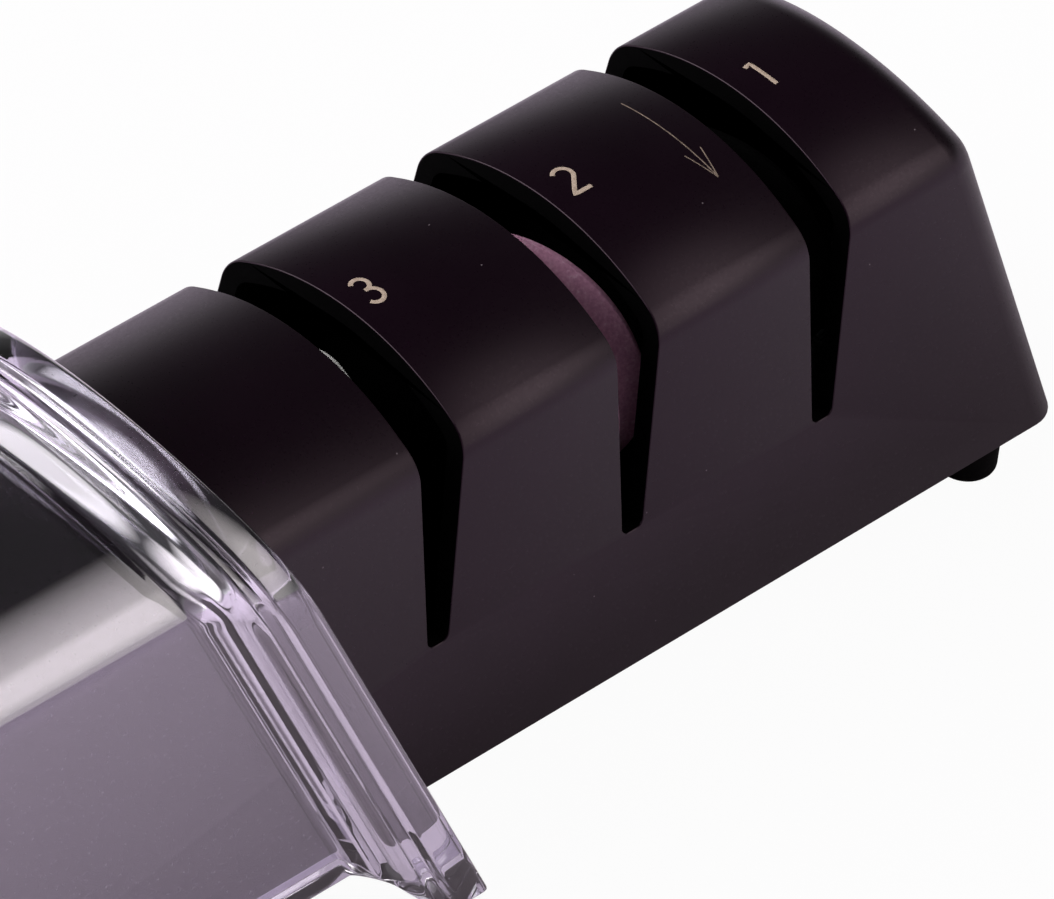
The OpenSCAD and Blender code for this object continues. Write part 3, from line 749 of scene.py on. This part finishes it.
smooth(sleeve, degrees=40)
add_modifier(sleeve, "BEVEL", width=SLEEVE_EDGE, segments=3, limit_method="ANGLE",
             angle_limit=math.radians(50), harden_normals=True)

clear_styrene, nodes, links, shader = new_finish("clear_styrene")
shader.inputs["Base Color"].default_value = (0.90, 0.86, 0.98, 1)
shader.inputs["Transmission Weight"].default_value = 1
shader.inputs["IOR"].default_value = 1.59
shader.inputs["Specular Tint"].default_value = (0.96, 0.85, 1, 1)
shader.inputs["Coat Weight"].default_value = 1
shader.inputs["Coat IOR"].default_value = 1.7
shader.inputs["Coat Roughness"].default_value = 0.02
haze = add_noise(nodes, links, scale=60)
links.new(add_range(nodes, links, haze, low=0.015, high=0.035), shader.inputs["Roughness"])
sleeve.data.materials.append(clear_styrene)
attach(sleeve, "cover")
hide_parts("clear_cover")

# Floor: a plain pale sheet with a faint lilac cast, far larger than the object, and not part of it.
# To the camera it is nearly white and keeps a soft shadow. In reflections on the object its glow is painted
# darker
# near the object: a painted shade that ramps with the distance from the object's front and back.
FLOOR_SIZE = 9
PAINTED_SHADE_NEAR, PAINTED_SHADE_FAR = 1.4 * BASE_HALF, 4.5 * BASE_HALF
GLOSSY_SHARE, THROUGH_SHARE, CAMERA_SHARE = 0.85, 0.45, 0.96
leave_edit()
bpy.ops.mesh.primitive_plane_add(size=FLOOR_SIZE, location=(0, 0, 0))
floor = bpy.context.object
floor.name = "floor"
white_floor, nodes, links, shader = new_finish("white_floor")
shader.inputs["Base Color"].default_value = (0.84, 0.74, 0.84, 1)
shader.inputs["Roughness"].default_value = 0.9
shader.inputs["Specular IOR Level"].default_value = 0
glow = nodes.new("ShaderNodeEmission")
ray = nodes.new("ShaderNodeLightPath")
place = nodes.new("ShaderNodeTexCoord")
reach = nodes.new("ShaderNodeSeparateXYZ")
links.new(place.outputs["Object"], reach.inputs["Vector"])
distance = add_math(nodes, links, "ABSOLUTE", reach.outputs["Y"], 0)
# Painted shade: the glow that reflections see grows from none near the object to its full share far away.
painted_shade_ramp = nodes.new("ShaderNodeMapRange")
painted_shade_ramp.inputs["From Min"].default_value = PAINTED_SHADE_NEAR
painted_shade_ramp.inputs["From Max"].default_value = PAINTED_SHADE_FAR
painted_shade_ramp.inputs["To Max"].default_value = GLOSSY_SHARE
links.new(distance, painted_shade_ramp.inputs["Value"])
glossy = add_math(nodes, links, "MULTIPLY", ray.outputs["Is Glossy Ray"], painted_shade_ramp.outputs["Result"])
through = add_math(nodes, links, "MULTIPLY", ray.outputs["Is Transmission Ray"], THROUGH_SHARE)
seen = add_math(nodes, links, "MULTIPLY", ray.outputs["Is Camera Ray"], CAMERA_SHARE)
share = add_math(nodes, links, "MAXIMUM", add_math(nodes, links, "MAXIMUM", glossy, through), seen)
links.new(add_ramp(nodes, links, ray.outputs["Is Camera Ray"], (
    (0, (0.96, 0.83, 1, 1)), (1, (1, 1, 1, 1)))), glow.inputs["Color"])
blend = nodes.new("ShaderNodeMixShader")
links.new(share, blend.inputs["Fac"])
links.new(shader.outputs["BSDF"], blend.inputs[1])
links.new(glow.outputs["Emission"], blend.inputs[2])
links.new(blend.outputs["Shader"], nodes["Material Output"].inputs["Surface"])
floor.data.materials.append(white_floor)

# Light: a dim grey room with a white wall low down all round, a tall soft box to the front right
# and a large one to the left behind the object.
room = bpy.data.worlds.new("room")
room.use_nodes = True
nodes, links = room.node_tree.nodes, room.node_tree.links
direction = nodes.new("ShaderNodeTexCoord")
level = nodes.new("ShaderNodeSeparateXYZ")
links.new(direction.outputs["Generated"], level.inputs["Vector"])
links.new(add_ramp(nodes, links, level.outputs["Z"], (
    (0, (0.95, 0.95, 0.95, 1)), (0.05, (0.6, 0.6, 0.6, 1)), (0.15, (0.15, 0.15, 0.15, 1)),
    (0.3, (0.07, 0.07, 0.07, 1)))), nodes["Background"].inputs["Color"])
bpy.context.scene.world = room
LAMP_AIM = Vector((0, 0, 30 * MM))


def add_soft_box(name, place, size, power, border, colour=(1, 1, 1), roll=0):
    """A rectangular lamp aimed at the object, even in the middle and fading out over its border."""
    lamp = bpy.data.lights.new(name, "AREA")
    lamp.shape = "RECTANGLE"
    lamp.size, lamp.size_y = size
    lamp.energy = power
    lamp.color = colour
    lamp.use_nodes = True
    nodes, links = lamp.node_tree.nodes, lamp.node_tree.links
    surface = nodes.new("ShaderNodeNewGeometry")
    centred = nodes.new("ShaderNodeMapping")
    centred.inputs["Location"].default_value = (-1, -1, 0)
    centred.inputs["Scale"].default_value = (2, 2, 1)
    links.new(surface.outputs["Parametric"], centred.inputs["Vector"])
    fade = nodes.new("ShaderNodeTexGradient")
    fade.gradient_type = "SPHERICAL"
    links.new(centred.outputs["Vector"], fade.inputs["Vector"])
    gain = nodes.new("ShaderNodeMath")
    gain.operation = "DIVIDE"
    gain.use_clamp = True
    gain.inputs[1].default_value = border
    links.new(fade.outputs["Fac"], gain.inputs[0])
    links.new(gain.outputs[0], nodes["Emission"].inputs["Strength"])
    box = bpy.data.objects.new(name, lamp)
    bpy.context.collection.objects.link(box)
    box.location = place
    aim = (LAMP_AIM - Vector(place)).to_track_quat("-Z", "Y")
    box.rotation_euler = (aim @ Quaternion((0, 0, 1), math.radians(roll))).to_euler()


add_soft_box("front_soft_box", place=(0.60, -0.74, 0.61), size=(0.8, 2.0), power=16, border=0.72,
             colour=(1, 0.97, 0.93), roll=-27)
add_soft_box("left_soft_box", place=(-0.91, 0.57, 0.66), size=(2.2, 1.3), power=50, border=0.35)

# Camera: a long lens about 1.3 m from the object, above it, in front and to the left, slightly rolled.
# As in the photograph, the left end of the body and of the sleeve is out of the frame.
camera_data = bpy.data.cameras.new("camera")
camera_data.sensor_fit = "HORIZONTAL"
camera_data.sensor_width = 36
camera_data.lens = 432.8
camera_data.clip_end = 50
camera = bpy.data.objects.new("camera", camera_data)
bpy.context.collection.objects.link(camera)
camera.location = (-0.70564, -0.65820, 0.90153)
camera.rotation_euler = [math.radians(turn) for turn in (48.3353, -5.2412, -44.0715)]
bpy.context.scene.camera = camera
bpy.context.scene.view_settings.view_transform = "Standard"
